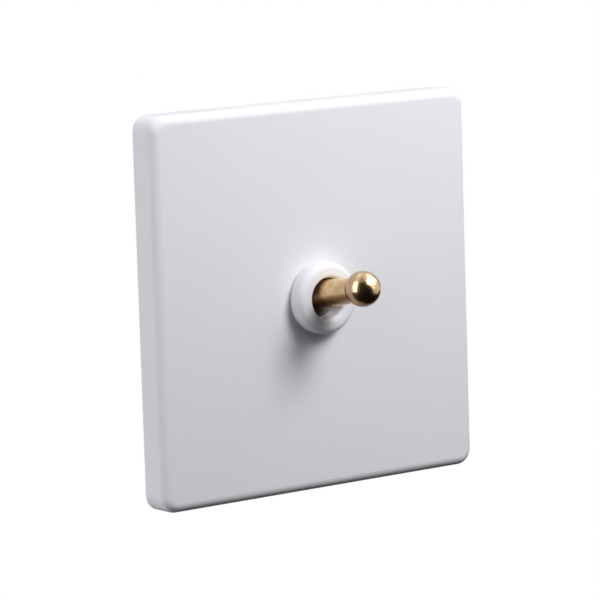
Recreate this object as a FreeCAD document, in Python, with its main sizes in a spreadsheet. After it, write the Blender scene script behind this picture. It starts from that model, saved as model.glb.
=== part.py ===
import FreeCAD
import Part
import Sketcher
import os
import re

# Wall light switch with a turned brass dolly lever on a screwless square plate.
# Millimetres. The wall plane is y = 0, the front faces -Y, +Z is up, and the origin lies
# on the axis of the bush. The lever is modelled at its upper position.

# Driving dimensions
SIZES = {
    # Front plate
    "plate_size": 86.0,
    "plate_depth": 7.4,
    "plate_wall": 2.0,
    "plate_corner": 3.6,
    "plate_edge": 2.1,
    "rib_depth": 2.7,
    "rib_width": 3.0,
    "rib_spacing": 32.0,
    "rib_clear": 0.3,
    # Collar, bush and the parts that clamp them
    "collar_bore": 4.5,
    "collar_height": 4.1,
    "collar_overhang": 0.95,
    "collar_edge": 1.6,
    "collar_back_edge": 0.6,
    "collar_lip": 1.0,
    "ball_grip": 0.15,
    "ball_clear": 0.15,
    "bush_wall": 1.2,
    "bush_end_gap": 0.1,
    "thread_clear": 0.05,
    "neck_wall": 0.9,
    "hole_clear": 0.1,
    "flange_ring": 1.5,
    "nut_wall": 1.5,
    "nut_thick": 2.0,
    "nut_gap": 0.2,
    "nut_chamfer": 0.5,
    "washer_ring": 2.8,
    "washer_thick": 0.6,
    "tooth_depth": 0.9,
    "tooth_count": 12.0,
    # Lever
    "lever_tilt": 10.0,
    "pivot_depth": 2.1,
    "head_reach": 18.28,
    "head_radius": 3.95,
    "neck_radius": 2.68,
    "neck_fillet": 0.4,
    "root_flare": 0.15,
    "swing_clear": 0.28,
    "tail_radius": 2.2,
    "tail_length": 12.0,
    "pin_radius": 1.0,
    "pin_clear": 0.05,
    "pin_press": 0.02,
    "pin_recess": 0.15,
    "pin_chamfer": 0.2,
    # Plunger and spring
    "plunger_radius": 1.3,
    "plunger_clear": 0.05,
    "plunger_reach": 14.5,
    "plunger_length": 5.5,
    "spring_room": 4.1,
    "spring_wire": 0.36,
    "spring_turns": 6.0,
    "spring_clear": 0.2,
    "spring_end_gap": 0.04,
    # Mounting yoke
    "yoke_height": 56.0,
    "yoke_thick": 1.2,
    "yoke_corner": 4.0,
    "yoke_lip": 3.0,
    "yoke_bend": 1.5,
    "slot_spacing": 60.3,
    "slot_radius": 2.1,
    "slot_length": 7.6,
    # Switch cover, insulating sheet and base
    "cover_thick": 1.2,
    "cover_clear": 0.1,
    "cover_bend": 1.4,
    "leg_width": 13.0,
    "tab_reach": 2.6,
    "sheet_thick": 1.0,
    "sheet_clear": 0.1,
    "base_side": 5.5,
    "base_end": 4.1,
    "base_floor": 5.0,
    "base_corner": 1.5,
    "barrier_thick": 1.4,
    "barrier_clear": 0.9,
    "barrier_depth": 6.0,
    # Rocker and contacts
    "rocker_tilt": 6.0,
    "wing_angle": 8.0,
    "wing_margin": 0.6,
    "rocker_thick": 0.9,
    "rocker_width": 6.0,
    "apex_depth": 1.15,
    "plunger_gap": 0.25,
    "trunnion_radius": 0.6,
    "trunnion_clear": 0.05,
    "contact_pitch": 10.0,
    "contact_gap": 0.12,
    "tip_radius": 1.5,
    "tip_height": 0.6,
    # Terminals
    "floor_drop": 3.4,
    "ear_thick": 0.8,
    "ear_clear": 0.3,
    "ear_half": 2.0,
    "ear_rise": 0.8,
    "strip_thick": 0.8,
    "chamber_clear": 0.8,
    "stem_radius": 1.5,
    "stem_clear": 0.05,
    "block_depth": 9.0,
    "block_edge": 0.4,
    "wire_radius": 1.6,
    "wire_offset": 3.2,
    "screw_radius": 1.45,
    "screw_clear": 0.05,
    "screw_back": 0.4,
    "screw_lift": 1.0,
    "screw_head_radius": 2.5,
    "screw_head_depth": 1.8,
    "screw_head_edge": 0.35,
    "screw_slot": 0.7,
    "screw_slot_depth": 1.0,
    "earth_across": 24.0,
    "earth_below": 21.0,
    "rivet_ring": 1.1,
    "rivet_depth": 0.8,
}

# Radii that grow outwards from the collar's bore
BALL = "(collar_bore + ball_grip)"
BUSH_BORE = f"({BALL} + ball_clear)"
THREAD = f"({BUSH_BORE} + bush_wall)"
THREAD_HOLE = f"({THREAD} + thread_clear)"
NECK = f"({THREAD_HOLE} + neck_wall)"
COLLAR = f"({NECK} + hole_clear + collar_overhang)"
FLANGE = f"({THREAD} + flange_ring)"
LIP = f"min(collar_lip; collar_height * 0.3; ({COLLAR} - collar_bore) * 0.4)"
RIM = f"min(collar_edge; collar_height * 0.5; ({COLLAR} - collar_bore) * 0.5)"

# Places along the depth, from the front to the back
FACE = "(-plate_depth)"
COLLAR_FRONT = f"({FACE} - collar_height)"
PIVOT = f"({FACE} + pivot_depth)"
COLLAR_SEAT = f"({PIVOT} - sqrt({BUSH_BORE}^2 - collar_bore^2))"
BUSH_FRONT = f"({COLLAR_SEAT} + bush_end_gap)"
WASHER_FRONT = "(-yoke_thick - washer_thick)"
NUT_FRONT = f"({WASHER_FRONT} - nut_thick)"
NECK_END = f"({NUT_FRONT} - nut_gap)"
BASE_FRONT = "(cover_thick + sheet_thick)"
TRUNNION = f"({PIVOT} + plunger_reach + plunger_gap + apex_depth)"
FLOOR = f"({TRUNNION} + floor_drop)"
BASE_REAR = f"({FLOOR} + base_floor)"

# Lever, measured along its own axis from the pivot
MOUTH_REACH = f"(pivot_depth + collar_height - {LIP})"
MOUTH = f"((collar_bore - swing_clear - {MOUTH_REACH} * tan(lever_tilt)) * cos(lever_tilt))"
ROOT = f"({MOUTH} + root_flare)"
ROOT_REACH = f"sqrt({BALL}^2 - {ROOT}^2)"
NECK_REACH = "(head_reach - sqrt(head_radius^2 - neck_radius^2))"
TAIL_START = f"sqrt({BALL}^2 - tail_radius^2)"
PLUNGER_FRONT = "(plunger_reach - plunger_length)"
TAIL_BORE = "(plunger_radius + plunger_clear)"

# Rocker in its own frame, where the trunnion axis is the origin
CLOSED_ANGLE = "(wing_angle - rocker_tilt)"
TIP_STACK = "(rocker_thick + tip_height)"
TIP_ALONG = (
    f"((contact_pitch - apex_depth * sin(rocker_tilt) - {TIP_STACK} * sin{CLOSED_ANGLE})"
    f" / cos{CLOSED_ANGLE})"
)
WING = f"({TIP_ALONG} + tip_radius + wing_margin)"
CONTACT_FACE = (
    f"({TRUNNION} - apex_depth * cos(rocker_tilt) - {TIP_ALONG} * sin{CLOSED_ANGLE}"
    f" + {TIP_STACK} * cos{CLOSED_ANGLE} + contact_gap)"
)

# Widths and heights that follow from the chamber
EAR_INNER = "(rocker_width / 2 + ear_clear)"
EAR_OUTER = f"({EAR_INNER} + ear_thick)"
CHAMBER_X = f"({EAR_OUTER} + chamber_clear)"
CHAMBER_Z = "(contact_pitch + tip_radius + wing_margin + chamber_clear)"
BASE_X = f"({CHAMBER_X} + base_side)"
BASE_Z = f"({CHAMBER_Z} + base_end)"
COVER_X = f"({BASE_X} + cover_clear + cover_thick)"
YOKE_X = "(plate_size / 2 - plate_wall - rib_depth - rib_clear)"
BLOCK = "((contact_pitch - barrier_thick) / 2 - barrier_clear)"

FRONT_PLANE = "XZ_Plane"
SIDE_PLANE = "YZ_Plane"
TOP_PLANE = "XY_Plane"
X_AXIS = FreeCAD.Vector(1, 0, 0)
Y_AXIS = FreeCAD.Vector(0, 1, 0)
Z_AXIS = FreeCAD.Vector(0, 0, 1)

doc = FreeCAD.newDocument("dolly_switch")
sheet = doc.addObject("Spreadsheet::Sheet", "Sizes")
for row, (alias, number) in enumerate(SIZES.items(), start=1):
    sheet.set(f"A{row}", alias)
    sheet.set(f"B{row}", str(number))
    sheet.setAlias(f"B{row}", alias)
doc.recompute()
pieces = []


def bound(formula):
    """The formula as an expression on the sheet's cells."""
    return re.sub(r"[a-z]\w*", lambda m: f"Sizes.{m[0]}" if m[0] in SIZES else m[0], formula)


def number_of(formula):
    """The formula's present value."""
    return float(sheet.evalExpression(bound(formula)))


def piece(kind, name):
    """A document object that is one sub-part, labelled with its node name."""
    made = doc.addObject(kind, name)
    made.Label = name
    pieces.append(made)
    return made


def body(name):
    return piece("PartDesign::Body", name)


def place(target, y=None, x=None, z=None, turn=None):
    """Bind a sub-part's place, and its turn about the X axis."""
    if turn:
        target.Placement = FreeCAD.Placement(FreeCAD.Vector(), FreeCAD.Rotation(X_AXIS, 1))
        target.setExpression("Placement.Rotation.Angle", bound(turn))
    for axis, formula in (("x", x), ("y", y), ("z", z)):
        if formula:
            target.setExpression(f"Placement.Base.{axis}", bound(formula))


def sketch_on(owner, role, offset=None):
    """A sketch on one of the body's own origin planes, or parallel to it along the plane's normal."""
    drawing = owner.newObject("Sketcher::SketchObject", f"{owner.Name}_sketch")
    plane = next(f for f in owner.Origin.OriginFeatures if f.Role == role)
    drawing.AttachmentSupport = [(plane, "")]
    drawing.MapMode = "FlatFace"
    if offset:
        drawing.setExpression("AttachmentOffset.Base.z", bound(offset))
    return drawing


def hold(drawing, curve, end, kind, formula):
    """Hold one coordinate of a sketch's point at a formula, measured from the sketch's origin."""
    if formula == "0":
        axis = -2 if kind == "DistanceX" else -1
        drawing.addConstraint(Sketcher.Constraint("PointOnObject", curve, end, axis))
        return
    rule = Sketcher.Constraint(kind, -1, 1, curve, end, number_of(formula))
    drawing.setExpression(f"Constraints[{drawing.addConstraint(rule)}]", bound(formula))


def pin_point(drawing, curve, end, x, y):
    hold(drawing, curve, end, "DistanceX", x)
    hold(drawing, curve, end, "DistanceY", y)


def at(point):
    return FreeCAD.Vector(number_of(point[0]), number_of(point[1]), 0)


def outline(drawing, points, arcs=None):
    """A closed outline. arcs gives the centre of the anticlockwise arc that follows a point."""
    arcs = arcs or {}
    first = drawing.GeometryCount
    for i, start in enumerate(points):
        a = at(start)
        b = at(points[(i + 1) % len(points)])
        if i not in arcs:
            drawing.addGeometry(Part.LineSegment(a, b))
            continue
        middle = at(arcs[i])
        circle = Part.Circle(middle, Z_AXIS, middle.distanceToPoint(a))
        drawing.addGeometry(Part.ArcOfCircle(circle, circle.parameter(a), circle.parameter(b)))
        upright = abs(b.y - a.y) >= abs(b.x - a.x)
        kind, formula = ("DistanceX", arcs[i][0]) if upright else ("DistanceY", arcs[i][1])
        hold(drawing, first + i, 3, kind, formula)
    for i, (x, y) in enumerate(points):
        after = (i + 1) % len(points)
        drawing.addConstraint(Sketcher.Constraint("Coincident", first + i, 2, first + after, 1))
        pin_point(drawing, first + i, 1, x, y)


def rectangle(drawing, left, right, low, high):
    outline(drawing, [(left, low), (right, low), (right, high), (left, high)])


def centred(drawing, half_x, half_y):
    rectangle(drawing, f"-{half_x}", half_x, f"-{half_y}", half_y)


def round_hole(drawing, radius, x="0", y="0"):
    curve = drawing.addGeometry(Part.Circle(at((x, y)), Z_AXIS, number_of(radius)))
    rule = Sketcher.Constraint("Radius", curve, number_of(radius))
    drawing.setExpression(f"Constraints[{drawing.addConstraint(rule)}]", bound(radius))
    pin_point(drawing, curve, 3, x, y)


def slot(drawing, x, half_length, radius):
    """A slot along the sketch's X axis, with round ends."""
    left = f"({x} - {half_length} + {radius})"
    right = f"({x} + {half_length} - {radius})"
    corners = [(left, f"-{radius}"), (right, f"-{radius}"), (right, radius), (left, radius)]
    outline(drawing, corners, {1: (right, "0"), 3: (left, "0")})


def feature(owner, kind, drawing, length=None, back=False, both=False):
    """A Pad or a Pocket along the sketch's normal, or against it, or to both sides of the sketch."""
    before = owner.Shape.Volume if owner.Tip else 0.0
    made = owner.newObject(f"PartDesign::{kind}", f"{owner.Name}_{kind.lower()}")
    made.Profile = drawing
    if length:
        made.setExpression("Length", bound(length))
    else:
        made.Type = "ThroughAll"
    if both:
        made.Midplane = True
    made.Reversed = back
    doc.recompute()
    change = owner.Shape.Volume - before
    if (change > 0) != (kind == "Pad") or abs(change) < 1e-6:
        raise RuntimeError(f"{made.Name} changed the volume by {change}")
    return made


def pad(owner, drawing, length, **options):
    return feature(owner, "Pad", drawing, length, **options)


def pocket(owner, drawing, length=None, **options):
    return feature(owner, "Pocket", drawing, length, **options)


def turned(owner, points, arcs=None):
    """A solid turned about the Y axis, from an outline of radius and depth."""
    drawing = sketch_on(owner, TOP_PLANE)
    outline(drawing, points, arcs)
    made = owner.newObject("PartDesign::Revolution", f"{owner.Name}_turning")
    made.Profile = drawing
    made.ReferenceAxis = (drawing, ["V_Axis"])
    made.Angle = 360.0
    doc.recompute()
    return made


def soften(owner, radius, chosen, kind="Fillet"):
    """Round, or chamfer, the edges of the body that a test chooses."""
    base = owner.Tip
    names = [f"Edge{i}" for i, edge in enumerate(base.Shape.Edges, start=1) if chosen(edge)]
    made = owner.newObject(f"PartDesign::{kind}", f"{owner.Name}_{kind.lower()}")
    made.Base = (base, names)
    made.setExpression("Radius" if kind == "Fillet" else "Size", bound(radius))
    doc.recompute()
    return made


def near(a, b):
    return abs(a - b) < 1e-4


def runs_along(edge, axis):
    """Whether an edge is straight and parallel to one of the axes."""
    if not isinstance(edge.Curve, Part.Line):
        return False
    return abs(abs(edge.Curve.Direction.dot(axis)) - 1) < 1e-6


def lies_at(edge, y):
    return near(edge.BoundBox.YMin, y) and near(edge.BoundBox.YMax, y)


def make_front_plate():
    plate = body("front_plate")
    square = sketch_on(plate, FRONT_PLANE)
    centred(square, "plate_size / 2", "plate_size / 2")
    pad(plate, square, "plate_depth")
    soften(plate, "plate_corner", lambda e: runs_along(e, Y_AXIS))
    front = number_of(FACE)
    soften(plate, "min(plate_edge; plate_depth * 0.8)", lambda e: lies_at(e, front))
    hollow = sketch_on(plate, FRONT_PLANE)
    centred(hollow, "(plate_size / 2 - plate_wall)", "(plate_size / 2 - plate_wall)")
    pocket(plate, hollow, "plate_depth - plate_wall", back=True)
    inner = number_of("plate_size / 2 - plate_wall")
    soften(
        plate,
        "max(plate_corner - plate_wall; 0.5)",
        lambda e: runs_along(e, Y_AXIS) and near(abs(e.Vertexes[0].X), inner),
    )
    ribs = sketch_on(plate, FRONT_PLANE, "plate_depth - plate_wall")
    inner_x = f"({YOKE_X} + rib_clear)"
    wall_x = "(plate_size / 2 - plate_wall / 2)"
    for side in ("-", ""):
        left, right = (f"-{wall_x}", f"-{inner_x}") if side else (inner_x, wall_x)
        for level in ("-", ""):
            low = f"({level}rib_spacing / 2 - rib_width / 2)"
            rectangle(ribs, left, right, low, f"({level}rib_spacing / 2 + rib_width / 2)")
    pad(plate, ribs, "plate_depth - plate_wall - rib_clear", back=True)
    opening = sketch_on(plate, FRONT_PLANE)
    round_hole(opening, f"({NECK} + hole_clear)")
    pocket(plate, opening, back=True)


def make_collar():
    collar = body("collar")
    turned(
        collar,
        [
            ("collar_bore", COLLAR_FRONT),
            (COLLAR, COLLAR_FRONT),
            (COLLAR, FACE),
            (NECK, FACE),
            (NECK, NECK_END),
            (THREAD_HOLE, NECK_END),
            (THREAD_HOLE, COLLAR_SEAT),
            ("collar_bore", COLLAR_SEAT),
        ],
    )
    front = number_of(COLLAR_FRONT)
    seat = number_of(FACE)
    middle = number_of(f"(collar_bore + {COLLAR}) / 2")

    def outer_rim(edge):
        return lies_at(edge, front) and edge.BoundBox.XMax > middle

    def inner_rim(edge):
        return lies_at(edge, front) and near(edge.BoundBox.XMax, number_of("collar_bore"))

    def back_rim(edge):
        return lies_at(edge, seat) and near(edge.BoundBox.XMax, number_of(COLLAR))

    soften(collar, RIM, outer_rim)
    soften(collar, "min(collar_back_edge; collar_height * 0.3; collar_overhang * 0.8)", back_rim)
    soften(collar, LIP, inner_rim)


def make_bush():
    bush = body("bush")
    flange_end = "(cover_thick + sheet_thick - sheet_clear)"
    turned(
        bush,
        [
            (BUSH_BORE, BUSH_FRONT),
            (THREAD, BUSH_FRONT),
            (THREAD, "cover_thick"),
            (FLANGE, "cover_thick"),
            (FLANGE, flange_end),
            (BUSH_BORE, flange_end),
        ],
    )
    cross = sketch_on(bush, SIDE_PLANE)
    round_hole(cross, "(pin_radius + pin_press)", PIVOT)
    pocket(bush, cross, f"{THREAD} * 4", both=True)


def make_pivot_pin():
    pin = body("pivot_pin")
    end = sketch_on(pin, SIDE_PLANE)
    round_hole(end, "pin_radius")
    pad(pin, end, f"2 * ({THREAD} - pin_recess)", both=True)
    soften(pin, "min(pin_chamfer; pin_radius / 2)", lambda e: isinstance(e.Curve, Part.Circle), "Chamfer")
    place(pin, y=PIVOT)


def make_dolly():
    dolly = body("dolly")
    turned(
        dolly,
        [
            ("0", "-(head_reach + head_radius)"),
            ("neck_radius", f"-{NECK_REACH}"),
            (MOUTH, f"-{MOUTH_REACH}"),
            (ROOT, f"-{ROOT_REACH}"),
            ("tail_radius", TAIL_START),
            ("tail_radius", "tail_length"),
            (TAIL_BORE, "tail_length"),
            (TAIL_BORE, f"({PLUNGER_FRONT} - spring_room)"),
            ("0", f"({PLUNGER_FRONT} - spring_room)"),
        ],
        {
            0: ("0", "-head_reach"),
            3: ("0", "0"),
        },
    )
    neck = number_of(f"-{NECK_REACH}")
    soften(dolly, "neck_fillet", lambda e: lies_at(e, neck))
    cross = sketch_on(dolly, SIDE_PLANE)
    round_hole(cross, "(pin_radius + pin_clear)")
    pocket(dolly, cross, f"{BALL} * 4", both=True)
    place(dolly, y=PIVOT, turn="-lever_tilt")


def make_plunger():
    plunger = body("plunger")
    turned(
        plunger,
        [
            ("0", PLUNGER_FRONT),
            ("plunger_radius", PLUNGER_FRONT),
            ("plunger_radius", "(plunger_reach - plunger_radius)"),
            ("0", "plunger_reach"),
        ],
        {2: ("0", "(plunger_reach - plunger_radius)")},
    )
    place(plunger, y=PIVOT, turn="-lever_tilt")


def make_plunger_spring():
    """A coil between the bottom of the tail's bore and the plunger."""
    spring = piece("Part::Feature", "plunger_spring")
    wire = number_of("spring_wire") / 2
    radius = number_of("plunger_radius - spring_clear") - wire
    inset = wire + number_of("spring_end_gap")
    height = number_of("spring_room") - 2 * inset
    helix = Part.makeHelix(height / number_of("spring_turns"), height, radius)
    section = Part.Wire(Part.makeCircle(wire, FreeCAD.Vector(radius, 0, 0), Y_AXIS))
    coil = Part.Wire(helix).makePipeShell([section], True, True)
    start = number_of(f"{PLUNGER_FRONT} - spring_room") + inset
    spring.Shape = coil
    along = FreeCAD.Placement(FreeCAD.Vector(0, start, 0), FreeCAD.Rotation(X_AXIS, -90))
    tilt = FreeCAD.Rotation(X_AXIS, -number_of("lever_tilt"))
    spring.Placement = FreeCAD.Placement(FreeCAD.Vector(0, number_of(PIVOT), 0), tilt).multiply(along)


def make_lock_nut():
    nut = body("lock_nut")
    hexagon = sketch_on(nut, FRONT_PLANE, "yoke_thick + washer_thick")
    flat = f"({THREAD} + nut_wall)"
    corner = f"({flat} / cos(30))"
    corners = [(f"{corner} * cos({60 * i})", f"{corner} * sin({60 * i})") for i in range(6)]
    corners[0] = (corner, "0")
    corners[3] = (f"-{corner}", "0")
    outline(hexagon, corners)
    pad(nut, hexagon, "nut_thick")
    bore = sketch_on(nut, FRONT_PLANE, "yoke_thick + washer_thick")
    round_hole(bore, THREAD_HOLE)
    pocket(nut, bore, back=True)
    crown = sketch_on(nut, TOP_PLANE)
    outline(
        crown,
        [
            (flat, NUT_FRONT),
            (f"({corner} + nut_chamfer)", NUT_FRONT),
            (f"({corner} + nut_chamfer)", f"({NUT_FRONT} + nut_chamfer)"),
        ],
    )
    before = nut.Shape.Volume
    groove = nut.newObject("PartDesign::Groove", "lock_nut_crown")
    groove.Profile = crown
    groove.ReferenceAxis = (crown, ["V_Axis"])
    groove.Angle = 360.0
    doc.recompute()
    if nut.Shape.Volume >= before:
        raise RuntimeError("the nut's crown cut nothing")


def make_lock_washer():
    washer = body("lock_washer")
    ring = sketch_on(washer, FRONT_PLANE, "yoke_thick")
    outer = f"({THREAD} + washer_ring)"
    round_hole(ring, outer)
    round_hole(ring, f"({THREAD} + hole_clear)")
    pad(washer, ring, "washer_thick")
    gap = sketch_on(washer, FRONT_PLANE, "yoke_thick")
    half = f"({outer} * tan(90 / tooth_count))"
    rectangle(gap, f"({outer} - tooth_depth)", f"({outer} + tooth_depth)", f"-{half}", half)
    notch = pocket(washer, gap, back=True)
    teeth = washer.newObject("PartDesign::PolarPattern", "lock_washer_teeth")
    teeth.Originals = [notch]
    teeth.Axis = (gap, ["N_Axis"])
    teeth.Angle = 360.0
    teeth.setExpression("Occurrences", bound("tooth_count"))
    washer.Tip = teeth
    doc.recompute()


def make_yoke():
    yoke = body("yoke")
    strap = sketch_on(yoke, FRONT_PLANE)
    centred(strap, YOKE_X, "yoke_height / 2")
    pad(yoke, strap, "yoke_thick")
    soften(yoke, "yoke_corner", lambda e: runs_along(e, Y_AXIS))
    lips = sketch_on(yoke, FRONT_PLANE)
    lip_x = f"({YOKE_X} - yoke_corner)"
    rectangle(lips, f"-{lip_x}", lip_x, "(yoke_height / 2 - yoke_thick)", "yoke_height / 2")
    rectangle(lips, f"-{lip_x}", lip_x, "-yoke_height / 2", "-(yoke_height / 2 - yoke_thick)")
    pad(yoke, lips, "yoke_lip")
    edge_z = number_of("yoke_height / 2")

    def outer_bend(edge):
        on_edge = near(abs(edge.BoundBox.ZMin), edge_z) and near(abs(edge.BoundBox.ZMax), edge_z)
        return runs_along(edge, X_AXIS) and lies_at(edge, 0) and on_edge

    soften(yoke, "min(yoke_bend; yoke_thick * 0.9)", outer_bend)
    holes = sketch_on(yoke, FRONT_PLANE)
    round_hole(holes, f"({THREAD} + hole_clear)")
    slot(holes, "slot_spacing / 2", "slot_length / 2", "slot_radius")
    slot(holes, "-slot_spacing / 2", "slot_length / 2", "slot_radius")
    round_hole(holes, "(stem_radius + stem_clear)", "-earth_across", "-earth_below")
    pocket(yoke, holes, back=True)


def make_switch_cover():
    cover = body("switch_cover")
    top = sketch_on(cover, FRONT_PLANE)
    centred(top, COVER_X, BASE_Z)
    pad(cover, top, "cover_thick", back=True)
    legs = sketch_on(cover, TOP_PLANE)
    inner = f"({BASE_X} + cover_clear)"
    tab = f"({BASE_X} - tab_reach)"
    rear = f"({BASE_REAR} + cover_thick)"
    for sign in ("-", ""):
        outline(
            legs,
            [
                (f"{sign}{inner}", "cover_thick / 2"),
                (f"{sign}{COVER_X}", "cover_thick / 2"),
                (f"{sign}{COVER_X}", rear),
                (f"{sign}{tab}", rear),
                (f"{sign}{tab}", BASE_REAR),
                (f"{sign}{inner}", BASE_REAR),
            ],
        )
    pad(cover, legs, "leg_width", both=True)
    edge_x = number_of(COVER_X)
    rear_y = number_of(rear)

    def outer_bend(edge):
        outside = near(abs(edge.BoundBox.XMin), edge_x) and near(abs(edge.BoundBox.XMax), edge_x)
        return runs_along(edge, Z_AXIS) and outside and (lies_at(edge, 0) or lies_at(edge, rear_y))

    soften(cover, "min(cover_bend; cover_thick * 0.9)", outer_bend)
    hole = sketch_on(cover, FRONT_PLANE)
    round_hole(hole, f"({THREAD} + hole_clear)")
    pocket(cover, hole)


def make_insulating_sheet():
    fibre = body("insulating_sheet")
    card = sketch_on(fibre, FRONT_PLANE, "-cover_thick")
    centred(card, BASE_X, BASE_Z)
    round_hole(card, f"({FLANGE} + sheet_clear)")
    pad(fibre, card, "sheet_thick", back=True)


def make_base_moulding():
    base = body("base_moulding")
    front = f"-{BASE_FRONT}"
    block = sketch_on(base, FRONT_PLANE, front)
    centred(block, BASE_X, BASE_Z)
    pad(base, block, f"{BASE_REAR} - {BASE_FRONT}", back=True)
    soften(base, "base_corner", lambda e: runs_along(e, Y_AXIS))
    chamber = sketch_on(base, FRONT_PLANE, front)
    centred(chamber, CHAMBER_X, CHAMBER_Z)
    pocket(base, chamber, f"{FLOOR} - {BASE_FRONT}")
    barriers = sketch_on(base, FRONT_PLANE, f"-{BASE_REAR}")
    reach = f"({BLOCK} + barrier_clear)"
    for sign in ("-", ""):
        low = f"({sign}contact_pitch / 2 - barrier_thick / 2)"
        rectangle(barriers, f"-{reach}", reach, low, f"({sign}contact_pitch / 2 + barrier_thick / 2)")
    pad(base, barriers, "barrier_depth", back=True)
    stems = sketch_on(base, FRONT_PLANE, f"-{FLOOR}")
    for z in ("-contact_pitch", "0", "contact_pitch"):
        round_hole(stems, "(stem_radius + stem_clear)", "0", z)
    pocket(base, stems)


def make_rocker_contact():
    rocker = body("rocker_contact")
    strip = sketch_on(rocker, SIDE_PLANE)
    end_y = f"(-apex_depth - {WING} * sin(wing_angle))"
    end_z = f"({WING} * cos(wing_angle))"
    back_y = f"({end_y} + rocker_thick * cos(wing_angle))"
    back_z = f"({end_z} + rocker_thick * sin(wing_angle))"
    outline(
        strip,
        [
            ("-apex_depth", "0"),
            (end_y, f"-{end_z}"),
            (back_y, f"-{back_z}"),
            ("(rocker_thick / cos(wing_angle) - apex_depth)", "0"),
            (back_y, back_z),
            (end_y, end_z),
        ],
    )
    pad(rocker, strip, "rocker_width", both=True)
    trunnions = sketch_on(rocker, SIDE_PLANE)
    round_hole(trunnions, "trunnion_radius")
    pad(rocker, trunnions, f"2 * {EAR_OUTER}", both=True)
    place(rocker, y=TRUNNION, turn="rocker_tilt")


def make_rocker_tips():
    tips = piece("Part::Compound", "rocker_tips")
    buttons = []
    for name, sign in (("upper", 1), ("lower", -1)):
        button = doc.addObject("Part::Cylinder", f"rocker_tip_{name}")
        button.setExpression("Radius", bound("tip_radius"))
        button.setExpression("Height", bound("tip_height"))
        along_y = f"-apex_depth - {TIP_ALONG} * sin(wing_angle) + rocker_thick * cos(wing_angle)"
        along_z = f"{sign} * ({TIP_ALONG} * cos(wing_angle) + rocker_thick * sin(wing_angle))"
        place(button, y=along_y, z=along_z, turn=f"-90 + {sign} * wing_angle")
        buttons.append(button)
    tips.Links = buttons
    place(tips, y=TRUNNION, turn="rocker_tilt")


def make_fixed_tips():
    tips = piece("Part::Compound", "fixed_tips")
    buttons = []
    for name, z in (("upper", "contact_pitch"), ("lower", "-contact_pitch")):
        button = doc.addObject("Part::Cylinder", f"fixed_tip_{name}")
        button.setExpression("Radius", bound("tip_radius"))
        button.setExpression("Height", bound("tip_height"))
        place(button, y=CONTACT_FACE, z=z, turn="-90")
        buttons.append(button)
    tips.Links = buttons


def pillar(terminal, front, x, z):
    """The clamp block of a terminal: a pillar with a wire hole across it and a screw hole from behind."""
    block = sketch_on(terminal, FRONT_PLANE, f"-{front}")
    rectangle(block, f"({x} - {BLOCK})", f"({x} + {BLOCK})", f"({z} - {BLOCK})", f"({z} + {BLOCK})")
    pad(terminal, block, "block_depth", back=True)
    soften(terminal, "block_edge", lambda e: isinstance(e.Curve, Part.Line), "Chamfer")
    screw_way = sketch_on(terminal, FRONT_PLANE, f"-({front} + wire_offset)")
    round_hole(screw_way, "(screw_radius + screw_clear)", x, z)
    pocket(terminal, screw_way, "block_depth")
    wire_way = sketch_on(terminal, SIDE_PLANE, x)
    round_hole(wire_way, "wire_radius", f"({front} + wire_offset)", z)
    pocket(terminal, wire_way, f"{BLOCK} * 4", both=True)


def stem(terminal, front, length, x, z):
    drawing = sketch_on(terminal, FRONT_PLANE, f"-{front}")
    round_hole(drawing, "stem_radius", x, z)
    pad(terminal, drawing, length)


def make_contact_terminal(name, z):
    """An outer terminal: its seat carries a fixed contact on the chamber's floor."""
    terminal = body(name)
    pillar(terminal, BASE_REAR, "0", z)
    stem(terminal, BASE_REAR, "base_floor", "0", z)
    seat = sketch_on(terminal, FRONT_PLANE, f"-{FLOOR}")
    round_hole(seat, "(tip_radius + wing_margin)", "0", z)
    pad(terminal, seat, f"{FLOOR} - {CONTACT_FACE} - tip_height")


def make_common_terminal():
    """The middle terminal: a strip with two notched ears, where the rocker's trunnions lie."""
    terminal = body("common_terminal")
    pillar(terminal, BASE_REAR, "0", "0")
    stem(terminal, BASE_REAR, "base_floor", "0", "0")
    strip = sketch_on(terminal, FRONT_PLANE, f"-{FLOOR}")
    centred(strip, EAR_OUTER, "ear_half")
    pad(terminal, strip, "strip_thick")
    ears = sketch_on(terminal, FRONT_PLANE, f"-{FLOOR}")
    rectangle(ears, EAR_INNER, EAR_OUTER, "-ear_half", "ear_half")
    rectangle(ears, f"-{EAR_OUTER}", f"-{EAR_INNER}", "-ear_half", "ear_half")
    pad(terminal, ears, "floor_drop + ear_rise")
    notch = sketch_on(terminal, SIDE_PLANE)
    width = "(trunnion_radius + trunnion_clear)"
    mouth = f"({TRUNNION} - ear_rise * 2)"
    outline(
        notch,
        [(mouth, f"-{width}"), (TRUNNION, f"-{width}"), (TRUNNION, width), (mouth, width)],
        {1: (TRUNNION, "0")},
    )
    pocket(terminal, notch, f"{EAR_OUTER} * 4", both=True)


def clamp_screw(name, front, x, z):
    """A slotted clamp screw, backed off so that its point stands clear of the wire hole."""
    screw = body(name)
    under_head = "(block_depth + screw_lift)"
    head_end = f"({under_head} + screw_head_depth)"
    point = "(wire_offset + wire_radius + screw_back)"
    turned(
        screw,
        [
            ("0", point),
            ("screw_radius", point),
            ("screw_radius", under_head),
            ("screw_head_radius", under_head),
            ("screw_head_radius", head_end),
            ("0", head_end),
        ],
    )
    end = number_of(head_end)
    soften(screw, "min(screw_head_edge; screw_head_depth / 2)", lambda e: lies_at(e, end))
    kerf = sketch_on(screw, FRONT_PLANE, f"-{head_end}")
    centred(kerf, "screw_head_radius * 1.2", "screw_slot / 2")
    pocket(screw, kerf, "screw_slot_depth", back=True)
    place(screw, x=x, y=front, z=z)
    return screw


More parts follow.
